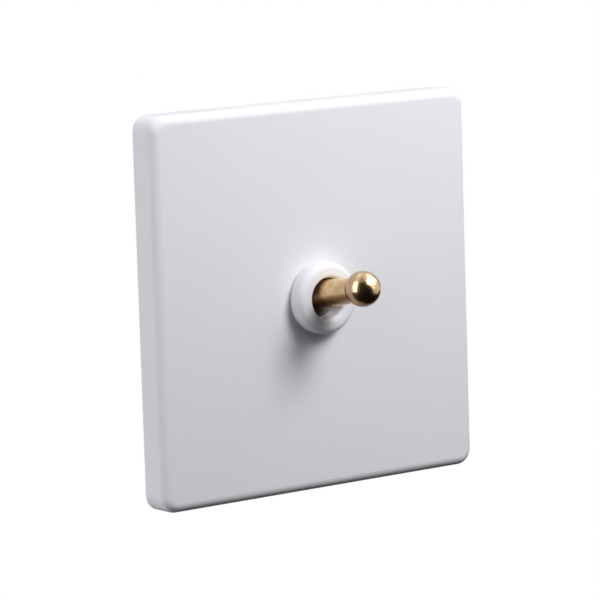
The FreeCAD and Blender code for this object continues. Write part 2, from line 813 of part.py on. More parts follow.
def make_terminal_screws():
    """Three clamp screws, one in each pillar of the base."""
    screws = []
    for name, z in (("upper", "contact_pitch"), ("common", None), ("lower", "-contact_pitch")):
        screws.append(clamp_screw(f"{name}_screw", BASE_REAR, None, z))
        pieces.pop()
    group = piece("Part::Compound", "terminal_screws")
    group.Links = screws


def make_earth_terminal():
    terminal = body("earth_terminal")
    pillar(terminal, "0", "-earth_across", "-earth_below")
    stem(terminal, "0", "yoke_thick", "-earth_across", "-earth_below")
    head = sketch_on(terminal, FRONT_PLANE, "yoke_thick")
    round_hole(head, "(stem_radius + rivet_ring)", "-earth_across", "-earth_below")
    pad(terminal, head, "rivet_depth")
    clamp_screw("earth_screw", None, "-earth_across", "-earth_below")


def failed_objects():
    return [o.Name for o in doc.Objects if "Invalid" in o.State or "Error" in o.State]


def write_steps():
    """Check every object and shape, and then write one STEP file for each sub-part."""
    doc.recompute()
    if failed_objects():
        raise RuntimeError(f"failed objects: {failed_objects()}")
    for made in pieces:
        if made.Shape.isNull() or not made.Shape.isValid() or not made.Shape.Solids:
            raise RuntimeError(f"{made.Label} has no valid shape")
    os.makedirs("parts", exist_ok=True)
    for made in pieces:
        made.Shape.exportStep(f"parts/{made.Label}.step")


make_front_plate()
make_collar()
make_bush()
make_pivot_pin()
make_dolly()
make_plunger()
make_plunger_spring()
make_lock_nut()
make_lock_washer()
make_yoke()
make_switch_cover()
make_insulating_sheet()
make_base_moulding()
make_rocker_contact()
make_rocker_tips()
make_fixed_tips()
make_common_terminal()
make_contact_terminal("upper_terminal", "contact_pitch")
make_contact_terminal("lower_terminal", "-contact_pitch")
make_terminal_screws()
make_earth_terminal()
write_steps()
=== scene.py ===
"""Gives a brass dolly switch its finishes, its clamp screws and spring, and a studio for its picture.

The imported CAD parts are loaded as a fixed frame, in metres: +X is right, +Y goes into the wall, +Z is up,
and the origin lies on the wall's surface, on the axis of the bush.
"""

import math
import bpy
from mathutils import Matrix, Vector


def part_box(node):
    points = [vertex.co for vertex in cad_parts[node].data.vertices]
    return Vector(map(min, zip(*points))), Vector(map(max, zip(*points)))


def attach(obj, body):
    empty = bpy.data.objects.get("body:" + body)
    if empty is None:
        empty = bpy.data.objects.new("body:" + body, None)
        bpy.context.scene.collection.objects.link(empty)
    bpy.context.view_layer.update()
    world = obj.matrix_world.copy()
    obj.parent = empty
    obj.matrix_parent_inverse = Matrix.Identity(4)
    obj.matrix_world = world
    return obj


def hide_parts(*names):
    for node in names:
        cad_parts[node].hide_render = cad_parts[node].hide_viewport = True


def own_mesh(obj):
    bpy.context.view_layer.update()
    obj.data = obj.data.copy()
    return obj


bl_info = {
    "name": "Brass dolly switch",
    "version": (1, 0, 0),
    "blender": (4, 5, 0),
    "location": "3D View > Sidebar > Dolly switch",
    "description": "Finishes, clamp screws, spring and studio of a wall switch with a brass dolly lever",
    "category": "Object",
}

import bpy
from mathutils import Matrix, Vector

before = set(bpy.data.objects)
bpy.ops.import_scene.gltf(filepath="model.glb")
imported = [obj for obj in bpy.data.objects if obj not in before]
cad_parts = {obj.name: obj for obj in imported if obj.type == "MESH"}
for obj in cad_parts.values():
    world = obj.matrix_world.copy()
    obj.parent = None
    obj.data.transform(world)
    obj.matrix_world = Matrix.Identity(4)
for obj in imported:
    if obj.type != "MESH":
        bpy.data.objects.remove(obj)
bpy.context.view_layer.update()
MM = 0.001
MICRON = 0.001 * MM
WHITE = (1, 1, 1, 1)

# Lever: places along it count from its pivot, heights from its axis

LEVER_TILT = math.radians(10)
LEVER_PIVOT = Vector((0, -5.3 * MM, 0))
# Painted shade on the lever inside the collar, fading out over these places
PAINTED_SHADE_INSIDE_FADES = (4.0 * MM, 5.4 * MM)
# Painted shade where the shank leaves the collar, fading out over these places
PAINTED_SHADE_ROOT_FADES = (5.0 * MM, 8.5 * MM)
BALL_BEGINS = (15.1 * MM, 15.6 * MM)
NECK = 15.3 * MM
# Painted shade in the neck groove, fading out over these distances from the neck
PAINTED_SHADE_NECK_FADES = (0.05 * MM, 0.30 * MM)
# Painted dark reflection round the ball's root, fading out over these places
PAINTED_REFLECTION_BALL_ROOT_FADES = (15.8 * MM, 17.6 * MM)
# Painted dark reflection on the lever's underside, fading in over these heights
PAINTED_REFLECTION_UNDERSIDE_FADES = (-1.1 * MM, 0.1 * MM)
# Painted dark reflection at the bottom of the lever, fading in over these heights
PAINTED_REFLECTION_BOTTOM_FADES = (-3.6 * MM, -2.4 * MM)

# Noise of the finishes: most of its values lie in this span

NOISE_SPAN = (0.3, 0.7)

# Modelling

WELD_DISTANCE = 0.001 * MM
SMOOTH_ANGLE = math.radians(35)
SHANK_IN_HEAD = 0.2 * MM
THREAD_STEPS = 40
SPARE_TURNS = 3
CREST_SHARE = 0.3
HEAD_SIDES = 72
BLADE_EXCESS = 1.2

# Floor: it glows towards the camera, and more so further out

FLOOR_TONE = (0.86, 0.86, 0.86, 1)
FLOOR_GLOW = (0.86, 1.0)
FLOOR_GLOW_REACH = (0.1, 1.0)

# Cards: bearings in degrees, azimuth 0 is in front and grows to the right

CARD_TONE = (0.012, 0.011, 0.010, 1)
DIM_CARD_GLOW = 0.42
FRONT_CARD_AZIMUTH = (-74, 24)
FRONT_CARD_TOP = 84
BACK_CARD_AZIMUTH = (98, 172)
BACK_CARD_ELEVATION = (-6, 40)
LOW_CARD_TOP = -9
LOW_CARD_DIP_AZIMUTH = (24, 80)
LOW_CARD_DIP_TOP = -18
DIM_TOP_RIGHT_EDGE = 24
DIM_TOP_BEGINS = 50
DIM_LOW_GAP_AZIMUTH = (-112, 104)
DIM_LOW_ENDS = -6

# Camera

SENSOR_WIDTH = 36
CLIP_START = 0.01
CLIP_END = 50


# Settings

def colour_setting(name, description, default):
    """A colour that the user can change."""
    return bpy.props.FloatVectorProperty(
        name=name, description=description, default=default, size=3, min=0, max=1, subtype="COLOR")


def length_setting(name, description, default):
    """A length that the user can change; its default is given in millimetres."""
    return bpy.props.FloatProperty(
        name=name, description=description, default=default * MM, min=0, unit="LENGTH", precision=5)


def aim_setting(name, description, default):
    """A shift of the picture to either side; its default is given in millimetres."""
    return bpy.props.FloatProperty(name=name, description=description, default=default * MM, unit="LENGTH")


def angle_setting(name, description, default):
    """An angle that the user can change; its default is given in degrees."""
    return bpy.props.FloatProperty(
        name=name, description=description, default=math.radians(default), subtype="ANGLE")


def place_setting(name, description, default):
    """A place in the frame, in metres."""
    return bpy.props.FloatVectorProperty(
        name=name, description=description, default=default, size=3, subtype="TRANSLATION", unit="LENGTH")


def panel_setting(name, description, default):
    """Width and height of a lamp, in metres."""
    return bpy.props.FloatVectorProperty(
        name=name, description=description, default=default, size=2, min=0.01, unit="LENGTH")


def share_setting(name, description, default):
    """A share from 0 to 1."""
    return bpy.props.FloatProperty(
        name=name, description=description, default=default, min=0, max=1, subtype="FACTOR")


def power_setting(name, description, default):
    """Power of a lamp, in watts."""
    return bpy.props.FloatProperty(name=name, description=description, default=default, min=0, unit="POWER")


class FinishSettings(bpy.types.PropertyGroup):
    """Colours and grain of the finishes."""

    moulding: colour_setting("White moulding", "Plate and collar", (0.80, 0.807, 0.85))
    moulding_roughness: share_setting("Moulding roughness", "How matt the plate and collar are", 0.46)
    moulding_grain: length_setting("Moulding grain", "Width of the fine grain on the plate", 0.28)
    brass: colour_setting("Turned brass", "Shank of the lever", (0.86, 0.61, 0.345))
    # The ball's brass is a darker copy of the shank's brass: painted shade standing in for the dark
    # surroundings that the polished ball mirrors.
    shaded_ball_brass: colour_setting("Ball brass", "Ball of the lever", (0.64, 0.45, 0.265))
    # One colour for the real patina in handled places and for the painted shade in the neck groove, round
    # both roots and on the underside.
    tarnish_and_painted_shade: colour_setting("Brass tarnish", "Handled places and hollows", (0.33, 0.18, 0.07))
    # Colour of the painted shade inside the collar and of the painted dark reflection at the bottom of the
    # lever.
    painted_shade_brass: colour_setting("Brass soot", "Inside the collar and lowest", (0.22, 0.125, 0.052))
    ball_roughness: share_setting("Ball roughness", "How dull the polished ball is", 0.20)
    shank_roughness: share_setting("Shank roughness", "How dull the turned shank is", 0.12)
    lathe_pitch: length_setting("Lathe marks", "Distance between the tool's marks on the shank", 0.16)
    nickel: colour_setting("Nickel plate", "Bush and lock nut", (0.68, 0.66, 0.62))
    steel: colour_setting("Bright steel", "Pin, washer and spring", (0.60, 0.61, 0.63))
    zinc: colour_setting("Zinc plate", "Yoke and switch cover", (0.62, 0.64, 0.67))
    fibre: colour_setting("Vulcanised fibre", "Insulating sheet", (0.36, 0.13, 0.07))
    phenolic: colour_setting("Phenolic", "Base moulding", (0.035, 0.030, 0.028))
    nylon: colour_setting("Nylon", "Plunger", (0.78, 0.76, 0.68))
    terminal_brass: colour_setting("Terminal brass", "Terminals and rocker", (0.78, 0.60, 0.32))
    silver: colour_setting("Silver", "Contact tips", (0.86, 0.85, 0.82))
    screw_steel: colour_setting("Screw steel", "Clamp screws", (0.64, 0.63, 0.60))


class ScrewSettings(bpy.types.PropertyGroup):
    """Sizes of one clamp screw."""

    radius: length_setting("Thread radius", "Outside of the thread", 1.45)
    thread_depth: length_setting("Thread depth", "From the crest to the root", 0.30)
    pitch: length_setting("Pitch", "Advance in one turn", 0.60)
    head_radius: length_setting("Head radius", "Outside of the head", 2.5)
    head_depth: length_setting("Head depth", "Height of the head", 1.8)
    head_edge: length_setting("Head edge", "Rounding of the head's rim", 0.35)
    slot_width: length_setting("Slot width", "Width of the driver slot", 0.7)
    slot_depth: length_setting("Slot depth", "Depth of the driver slot", 1.0)
    small_edge: length_setting("Small edge", "Rounding of the slot's edges", 0.06)


class StudioSettings(bpy.types.PropertyGroup):
    """Camera, lamps, floor and cards."""

    camera_azimuth: angle_setting("Camera azimuth", "Turn round the plate, left is negative", -36.97)
    camera_elevation: angle_setting("Camera elevation", "Height over the bush axis", 7.84)
    camera_roll: angle_setting("Camera roll", "Turn of the picture", 1.8)
    camera_distance: length_setting("Camera distance", "From the bush axis on the wall", 871.9)
    camera_lens: bpy.props.FloatProperty(
        name="Lens", description="Focal length on a 36 mm sensor", default=236.14, unit="CAMERA")
    aim_right: aim_setting("Aim right", "Middle of the picture, right of the origin", 0.28)
    aim_up: aim_setting("Aim up", "Middle of the picture, above the origin", -1.416)
    key_place: place_setting("Key place", "Small softbox in front and above", (0.103, -0.291, 0.269))
    key_size: panel_setting("Key size", "Width and height of the small softbox", (0.15, 0.15))
    key_power: power_setting("Key power", "Strength of the small softbox", 1.35)
    window_place: place_setting("Window place", "Wide softbox, above at the right", (0.190, -0.357, 0.294))
    window_size: panel_setting("Window size", "Width and height of the wide softbox", (0.56, 0.36))
    window_power: power_setting("Window power", "Strength of the wide softbox", 0.75)
    right_place: place_setting("Right place", "Panel for mirrors, upper right", (0.332, -0.121, 0.354))
    right_size: panel_setting("Right size", "Width and height of the right panel", (0.42, 0.42))
    right_power: power_setting("Right power", "Strength of the right panel", 1.10)
    left_place: place_setting("Left place", "Upright strip at the left", (-0.592, -0.031, 0.181))
    left_size: panel_setting("Left size", "Width and height of the left strip", (0.30, 0.75))
    left_power: power_setting("Left power", "Strength of the left strip", 2.28)
    side_place: place_setting("Side place", "Panel at the left, behind the plate", (-0.47, 0.33, -0.20))
    side_size: panel_setting("Side size", "Width and height of the side panel", (0.30, 0.30))
    side_power: power_setting("Side power", "Strength of the side panel", 0.70)
    rear_place: place_setting("Rear place", "Panel above and behind", (0.0, 0.344, 0.491))
    rear_size: panel_setting("Rear size", "Width and height of the rear panel", (0.30, 0.30))
    rear_power: power_setting("Rear power", "Strength of the rear panel", 1.25)
    back_place: place_setting("Back place", "Panel behind, for the back of the switch", (0.30, 0.62, 0.10))
    back_size: panel_setting("Back size", "Width and height of the back panel", (0.50, 0.50))
    back_power: power_setting("Back power", "Strength of the back panel", 1.6)
    ambient: share_setting("Ambient", "Light from all round", 0.03)
    floor_drop: length_setting("Floor drop", "Depth of the floor under the bush axis", 550)
    floor_radius: length_setting("Floor radius", "Reach of the floor", 1500)
    card_radius: length_setting("Card radius", "Distance of the cards that the metal mirrors", 500)


# Small helpers for nodes, whose owner is a finish or the world

def node(owner, kind, **values):
    """Adds a node and sets its options."""
    made = owner.node_tree.nodes.new(kind)
    for name, value in values.items():
        setattr(made, name, value)
    return made


def join(owner, output, target):
    """Links an output to an input."""
    owner.node_tree.links.new(output, target)


def sums(owner, operation, first, second):
    """One step of arithmetic on two values; the second may be a plain number."""
    made = node(owner, "ShaderNodeMath", operation=operation)
    join(owner, first, made.inputs[0])
    if isinstance(second, (int, float)):
        made.inputs[1].default_value = second
    else:
        join(owner, second, made.inputs[1])
    return made.outputs["Value"]


def highest(owner, first, *others):
    """The greatest of several values."""
    for other in others:
        first = sums(owner, "MAXIMUM", first, other)
    return first


def spread(owner, value, low, high, start=0.0, end=1.0):
    """Takes a value from start..end to low..high with soft ends."""
    made = node(owner, "ShaderNodeMapRange", interpolation_type="SMOOTHSTEP")
    made.inputs["From Min"].default_value = start
    made.inputs["From Max"].default_value = end
    made.inputs["To Min"].default_value = low
    made.inputs["To Max"].default_value = high
    join(owner, value, made.inputs["Value"])
    return made.outputs["Result"]


def seen_directly(owner):
    """1 for rays from the camera, a mirror or through glass, and 0 for the rest."""
    path = node(owner, "ShaderNodeLightPath").outputs
    return highest(owner, path["Is Camera Ray"], path["Is Glossy Ray"], path["Is Transmission Ray"])


# Small helpers for finishes

def new_finish(name, roughness, metallic=0.0, ior=1.5):
    """An empty Principled finish with its plain values on the shader's own sockets."""
    finish = bpy.data.materials.new(name)
    finish.use_nodes = True
    socket(finish, "Roughness").default_value = roughness
    socket(finish, "Metallic").default_value = metallic
    socket(finish, "IOR").default_value = ior
    return finish


def socket(finish, name):
    """A socket of the finish's shader."""
    return finish.node_tree.nodes["Principled BSDF"].inputs[name]


def surface_place(finish, scale=(1, 1, 1), turn=0.0, centre=Vector((0, 0, 0))):
    """Object coordinates, centred and turned about X, then stretched."""
    coordinates = node(finish, "ShaderNodeTexCoord")
    turned = node(finish, "ShaderNodeMapping", vector_type="POINT")
    turned.inputs["Rotation"].default_value = (turn, 0, 0)
    turned.inputs["Location"].default_value = Matrix.Rotation(turn, 3, "X") @ -Vector(centre)
    stretched = node(finish, "ShaderNodeMapping", vector_type="POINT")
    stretched.inputs["Scale"].default_value = scale
    join(finish, coordinates.outputs["Object"], turned.inputs["Vector"])
    join(finish, turned.outputs["Vector"], stretched.inputs["Vector"])
    return stretched.outputs["Vector"]


def clouds(finish, where, width, detail=3.0, roughness=0.55):
    """Soft noise whose spots are about as wide as width."""
    made = node(finish, "ShaderNodeTexNoise")
    made.inputs["Scale"].default_value = 1 / width
    made.inputs["Detail"].default_value = detail
    made.inputs["Roughness"].default_value = roughness
    join(finish, where, made.inputs["Vector"])
    return made.outputs["Fac"]


def uneven(finish, noise, low, high):
    """A roughness that goes from low to high with a noise."""
    return spread(finish, noise, low, high, *NOISE_SPAN)


def blend(finish, factor, first, second):
    """Goes from the first value to the second as the factor rises."""
    made = node(finish, "ShaderNodeMix", data_type="FLOAT")
    join(finish, factor, made.inputs["Factor"])
    join(finish, first, made.inputs["A"])
    join(finish, second, made.inputs["B"])
    return made.outputs["Result"]


def two_tone(finish, factor, first, second):
    """Goes from the first colour to the second as the factor rises; the first may be a node's output."""
    made = node(finish, "ShaderNodeMix", data_type="RGBA")
    if isinstance(first, bpy.types.NodeSocket):
        join(finish, first, made.inputs["A"])
    else:
        made.inputs["A"].default_value = (*first, 1)
    made.inputs["B"].default_value = (*second, 1)
    join(finish, factor, made.inputs["Factor"])
    return made.outputs["Result"]


def shaded(colour, factor):
    """A colour made darker or lighter by a factor."""
    return tuple(min(1.0, part * factor) for part in colour)


def tints(finish, factor, colour, darkest, lightest):
    """Shades of one colour, from its darkest to its lightest as the factor rises."""
    return two_tone(finish, factor, shaded(colour, darkest), shaded(colour, lightest))


def relief(finish, height, depth, under=None):
    """Bumps as deep as depth, laid over those of an earlier relief."""
    made = node(finish, "ShaderNodeBump")
    made.inputs["Distance"].default_value = depth
    join(finish, height, made.inputs["Height"])
    if under is not None:
        join(finish, under, made.inputs["Normal"])
    return made.outputs["Normal"]


def wired(finish, tone, roughness, normal):
    """The finish with its colour, roughness and relief linked to the shader."""
    join(finish, tone, socket(finish, "Base Color"))
    join(finish, roughness, socket(finish, "Roughness"))
    join(finish, normal, socket(finish, "Normal"))
    return finish


def give(finish, *names):
    """Puts a finish on CAD parts."""
    for name in names:
        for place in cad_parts[name].material_slots:
            place.material = finish


def cover(piece, finish):
    """Puts a finish on a piece that is made here."""
    piece.data.materials.clear()
    piece.data.materials.append(finish)


# Finishes

def white_moulding(settings):
    """Matt white moulded plastic with a fine even grain and slow changes of gloss."""
    dull = settings.moulding_roughness
    finish = new_finish("white_moulding", dull, ior=1.52)
    socket(finish, "Specular IOR Level").default_value = 0.2
    where = surface_place(finish)
    slow = clouds(finish, where, 22 * MM, detail=2)
    fine = clouds(finish, where, settings.moulding_grain, detail=2)
    peel = clouds(finish, where, 3.2 * MM, detail=1)
    tone = tints(finish, slow, settings.moulding, darkest=0.985, lightest=1.01)
    waves = relief(finish, peel, 2.0 * MICRON)
    grain = relief(finish, fine, 2.2 * MICRON, waves)
    return wired(finish, tone, uneven(finish, slow, dull - 0.04, dull + 0.04), grain)


def brass_tone(finish, settings, reach, height, ball, handling):
    """Brass with a darker ball as painted shade, real patina in handled patches, and painted shade and dark
    reflections in the neck groove, round both roots, on the underside, inside the collar and lowest.
    """
    # Painted shade: the ball takes the darker copy of the brass.
    brass_with_shaded_ball = two_tone(finish, ball, settings.brass, settings.shaded_ball_brass)
    worn = spread(finish, handling, low=0.10, high=0.42, start=0.36, end=0.70)
    # Painted dark reflection: the underside of the lever is darkened, as if it mirrored the shade below the
    # collar.
    under = spread(finish, height, 0.95, 0, *PAINTED_REFLECTION_UNDERSIDE_FADES)
    bare = spread(finish, ball, 1.0, 0.35)
    # Real patina in handled patches, joined with the painted dark underside, and less of both on the ball.
    patina_and_painted_underside = sums(finish, "MULTIPLY", highest(finish, worn, under), bare)
    # Painted shade: a dark line along the neck groove.
    from_neck = sums(finish, "ABSOLUTE", sums(finish, "SUBTRACT", reach, NECK), 0)
    painted_neck_shade = spread(finish, from_neck, 0.6, 0, *PAINTED_SHADE_NECK_FADES)
    # Painted dark reflection: the ball darkens round its root.
    painted_ball_root_reflection = sums(finish, "MULTIPLY", spread(finish, reach, 0.9, 0, *PAINTED_REFLECTION_BALL_ROOT_FADES), ball)
    # Painted shade: the shank darkens near the collar.
    painted_shank_root_shade = spread(finish, reach, 0.6, 0, *PAINTED_SHADE_ROOT_FADES)
    # Real patina mixed with painted shade and dark reflections, all in one tarnish colour.
    patina_and_painted_shade = highest(finish, patina_and_painted_underside, painted_neck_shade, painted_ball_root_reflection, painted_shank_root_shade)
    tarnished_and_shaded = two_tone(finish, patina_and_painted_shade, brass_with_shaded_ball, settings.tarnish_and_painted_shade)
    # Painted shade: the lever goes nearly black inside the collar, where shade falls.
    inside = spread(finish, reach, 1, 0, *PAINTED_SHADE_INSIDE_FADES)
    # Painted dark reflection: the lowest part of the lever goes dark, the ball's lower rim most.
    painted_bottom_reflection = spread(finish, height, 0.8, 0, *PAINTED_REFLECTION_BOTTOM_FADES)
    return two_tone(finish, highest(finish, inside, painted_bottom_reflection), tarnished_and_shaded, settings.painted_shade_brass)


def turned_brass(settings):
    """Brass turned on a lathe: rings along the shank, a polished ball, patina, and painted shade and dark
    reflections.
    """
    shank_dull = settings.shank_roughness
    ball_dull = settings.ball_roughness
    finish = new_finish("turned_brass", ball_dull, metallic=1.0)
    along = surface_place(finish, turn=LEVER_TILT, centre=LEVER_PIVOT)
    axis = node(finish, "ShaderNodeSeparateXYZ")
    join(finish, along, axis.inputs["Vector"])
    reach = sums(finish, "MULTIPLY", axis.outputs["Y"], -1.0)
    ball = spread(finish, reach, 0, 1, *BALL_BEGINS)
    rings = node(finish, "ShaderNodeTexNoise", noise_dimensions="1D")
    rings.inputs["Scale"].default_value = 1.0
    rings.inputs["Detail"].default_value = 4.0
    rings.inputs["Roughness"].default_value = 0.6
    join(finish, sums(finish, "MULTIPLY", reach, 1 / settings.lathe_pitch), rings.inputs["W"])
    speckle = clouds(finish, along, 0.35 * MM, detail=3, roughness=0.65)
    handling = clouds(finish, along, 2.4 * MM, detail=3)
    tone = brass_tone(finish, settings, reach, axis.outputs["Z"], ball, handling)
    roughness = blend(finish, ball,
                      uneven(finish, speckle, shank_dull - 0.03, shank_dull + 0.06),
                      uneven(finish, handling, ball_dull - 0.02, ball_dull + 0.05))
    cut = spread(finish, ball, 1.0, 0.06)
    marks = sums(finish, "MULTIPLY", rings.outputs["Fac"], cut)
    pits = sums(finish, "MULTIPLY", speckle, cut)
    tooled = relief(finish, marks, 9.0 * MICRON)
    return wired(finish, tone, roughness, relief(finish, pits, 2.5 * MICRON, tooled))


def plated_metal(name, colour, roughness, grain, depth):
    """Plated or bright metal with a fine directionless grain and duller patches."""
    finish = new_finish(name, roughness, metallic=1.0)
    where = surface_place(finish)
    fine = clouds(finish, where, grain, detail=4)
    patches = clouds(finish, where, 4.5 * MM, detail=3)
    tone = tints(finish, patches, colour, darkest=0.90, lightest=1.06)
    dull = uneven(finish, patches, roughness - 0.06, roughness + 0.09)
    return wired(finish, tone, dull, relief(finish, fine, depth))


def zinc_plate(settings):
    """Pressed steel under zinc: faint rolling lines along X and the crystals of the plating."""
    finish = new_finish("zinc_plate", 0.36, metallic=1.0)
    where = surface_place(finish)
    lines = clouds(finish, surface_place(finish, scale=(0.04, 1, 1)), 0.22 * MM, detail=4)
    crystals = node(finish, "ShaderNodeTexVoronoi", feature="F1", distance="EUCLIDEAN")
    crystals.inputs["Scale"].default_value = 1 / (1.9 * MM)
    crystals.inputs["Randomness"].default_value = 1.0
    join(finish, where, crystals.inputs["Vector"])
    shade = node(finish, "ShaderNodeRGBToBW")
    join(finish, crystals.outputs["Color"], shade.inputs["Color"])
    crystal_part = sums(finish, "MULTIPLY", shade.outputs["Val"], 0.45)
    line_part = sums(finish, "MULTIPLY", lines, 0.55)
    mixed = sums(finish, "ADD", crystal_part, line_part)
    tone = tints(finish, mixed, settings.zinc, darkest=0.84, lightest=1.10)
    dull = spread(finish, mixed, low=0.30, high=0.46, start=0.25, end=0.75)
    return wired(finish, tone, dull, relief(finish, lines, 2.4 * MICRON))


def drawn_brass(settings):
    """Drawn brass bar with lines along the bar and a light bloom of tarnish."""
    finish = new_finish("drawn_brass", 0.30, metallic=1.0)
    lines = clouds(finish, surface_place(finish, scale=(1, 0.06, 1)), 0.18 * MM, detail=4)
    bloom = clouds(finish, surface_place(finish), 2.8 * MM, detail=4)
    tone = tints(finish, bloom, settings.terminal_brass, darkest=0.80, lightest=1.10)
    dull = uneven(finish, bloom, 0.24, 0.42)
    return wired(finish, tone, dull, relief(finish, lines, 2.6 * MICRON))


def moulded_phenolic(settings):
    """Dark compression moulding: a mottled body with pale filler specks under a worn skin."""
    finish = new_finish("moulded_phenolic", 0.38, ior=1.6)
    where = surface_place(finish)
    mottle = clouds(finish, where, 1.6 * MM, detail=5)
    specks = clouds(finish, where, 0.22 * MM, detail=2)
    filler = spread(finish, specks, low=0, high=0.55, start=0.66, end=0.80)
    body_tone = sums(finish, "ADD", sums(finish, "MULTIPLY", mottle, 0.45), filler)
    tone = tints(finish, body_tone, settings.phenolic, darkest=0.75, lightest=2.6)
    dull = uneven(finish, mottle, 0.30, 0.48)
    return wired(finish, tone, dull, relief(finish, specks, 3.0 * MICRON))


def pressed_fibre(settings):
    """Vulcanised fibre sheet: red-brown board with a paper-like fleck."""
    finish = new_finish("pressed_fibre", 0.62, ior=1.5)
    fleck = clouds(finish, surface_place(finish, scale=(0.25, 1, 0.6)), 0.5 * MM, detail=5)
    tone = tints(finish, fleck, settings.fibre, darkest=0.70, lightest=1.45)
    dull = uneven(finish, fleck, 0.54, 0.72)
    return wired(finish, tone, dull, relief(finish, fleck, 5.0 * MICRON))


def natural_nylon(settings):
    """Translucent nylon, slightly cloudy, with a fine unevenness."""
    finish = new_finish("natural_nylon", 0.34, ior=1.53)
    cloud = clouds(finish, surface_place(finish), 1.2 * MM, detail=3)
    tone = tints(finish, cloud, settings.nylon, darkest=0.93, lightest=1.04)
    join(finish, tone, socket(finish, "Base Color"))
    socket(finish, "Subsurface Weight").default_value = 0.2
    socket(finish, "Subsurface Radius").default_value = (0.9 * MM, 0.8 * MM, 0.6 * MM)
    join(finish, relief(finish, cloud, 2.0 * MICRON), socket(finish, "Normal"))
    return finish


# Small helpers for modelling

def deselect():
    """Leaves edit mode and deselects every object."""
    if bpy.context.object and bpy.context.object.mode != "OBJECT":
        bpy.ops.object.mode_set(mode="OBJECT")
    bpy.ops.object.select_all(action="DESELECT")


def activate(piece):
    """Selects one piece alone and makes it the active one."""
    deselect()
    bpy.context.view_layer.objects.active = piece
    piece.select_set(True)


def unmark(piece):
    """Makes one piece active, with nothing selected in its mesh."""
    activate(piece)
    bpy.ops.object.mode_set(mode="EDIT")
    bpy.ops.mesh.select_all(action="DESELECT")
    bpy.ops.object.mode_set(mode="OBJECT")


def pick(piece, chosen, kind="VERT"):
    """Selects the vertices or faces of a piece for which chosen is true, and enters edit mode."""
    bpy.ops.object.mode_set(mode="OBJECT")
    parts = piece.data.vertices if kind == "VERT" else piece.data.polygons
    for part in parts:
        part.select = chosen(part)
    bpy.ops.object.mode_set(mode="EDIT")
    bpy.ops.mesh.select_mode(type=kind)


def settle(piece):
    """Puts a piece's place into its mesh, so that its object sits at the origin."""
    activate(piece)
    bpy.ops.object.transform_apply(location=True, rotation=True, scale=True)


def apply_modifier(piece, modifier):
    """Applies one modifier."""
    activate(piece)
    bpy.ops.object.modifier_apply(modifier=modifier.name)


def moved_copy(piece, name, offset):
    """A copy of a piece with a mesh of its own, moved inside that mesh."""
    copy = piece.copy()
    copy.data = piece.data.copy()
    copy.data.transform(Matrix.Translation(offset))
    copy.name = name
    copy.data.name = name
    bpy.context.scene.collection.objects.link(copy)
    return copy


def merged_copy(node_name, name):
    """A copy of a CAD part at the origin, with its loose triangles joined."""
    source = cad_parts[node_name]
    mesh = source.data.copy()
    mesh.transform(source.matrix_world)
    copy = bpy.data.objects.new(name, mesh)
    copy.data.name = name
    bpy.context.scene.collection.objects.link(copy)
    activate(copy)
    bpy.ops.object.mode_set(mode="EDIT")
    bpy.ops.mesh.select_all(action="SELECT")
    bpy.ops.mesh.remove_doubles(threshold=WELD_DISTANCE)
    bpy.ops.object.mode_set(mode="OBJECT")
    bpy.ops.object.shade_smooth_by_angle(angle=SMOOTH_ANGLE)
    return copy


# Clamp screws

def thread_profile(sizes, middle):
    """One pitch of the thread as a line of five points along Y; the third and fourth make the crest."""
    deselect()
    bpy.ops.mesh.primitive_plane_add(size=sizes.pitch, location=(0, 0, 0))
    profile = bpy.context.object
    unmark(profile)
    pick(profile, lambda v: v.co.x > 0)
    bpy.ops.mesh.delete(type="VERT")
    bpy.ops.mesh.select_all(action="SELECT")
    bpy.ops.mesh.subdivide(number_cuts=3)
    root = sizes.radius - sizes.thread_depth
    step = sizes.pitch / 4
    bpy.ops.transform.translate(value=(root + sizes.pitch / 2, middle, 0))
    pick(profile, lambda v: middle - step / 2 < v.co.y < middle + step * 3 / 2)
    bpy.ops.transform.translate(value=(sizes.thread_depth, 0, 0))
    pick(profile, lambda v: v.co.x > root + sizes.thread_depth / 2 and v.co.y > middle + step / 2)
    bpy.ops.transform.translate(value=(0, -step * (1 - CREST_SHARE), 0))
    settle(profile)
    return profile


def threaded_shank(sizes, start, end):
    """A helical thread round Y from start to end, both ends cut flat and closed."""
    shank = thread_profile(sizes, start - sizes.pitch)
    thread = shank.modifiers.new("Thread", "SCREW")
    thread.axis = "Y"
    thread.screw_offset = sizes.pitch
    thread.iterations = math.ceil((end - start) / sizes.pitch) + SPARE_TURNS
    thread.steps = THREAD_STEPS
    thread.render_steps = THREAD_STEPS
    thread.use_merge_vertices = True
    thread.merge_threshold = WELD_DISTANCE
    apply_modifier(shank, thread)
    activate(shank)
    bpy.ops.object.mode_set(mode="EDIT")
    for cut, outwards in ((start, (0, -1, 0)), (end, (0, 1, 0))):
        bpy.ops.mesh.select_all(action="SELECT")
        bpy.ops.mesh.bisect(plane_co=(0, cut, 0), plane_no=outwards, use_fill=True, clear_outer=True)
    bpy.ops.mesh.select_all(action="SELECT")
    bpy.ops.mesh.remove_doubles(threshold=WELD_DISTANCE)
    bpy.ops.mesh.normals_make_consistent(inside=False)
    bpy.ops.object.mode_set(mode="OBJECT")
    return shank


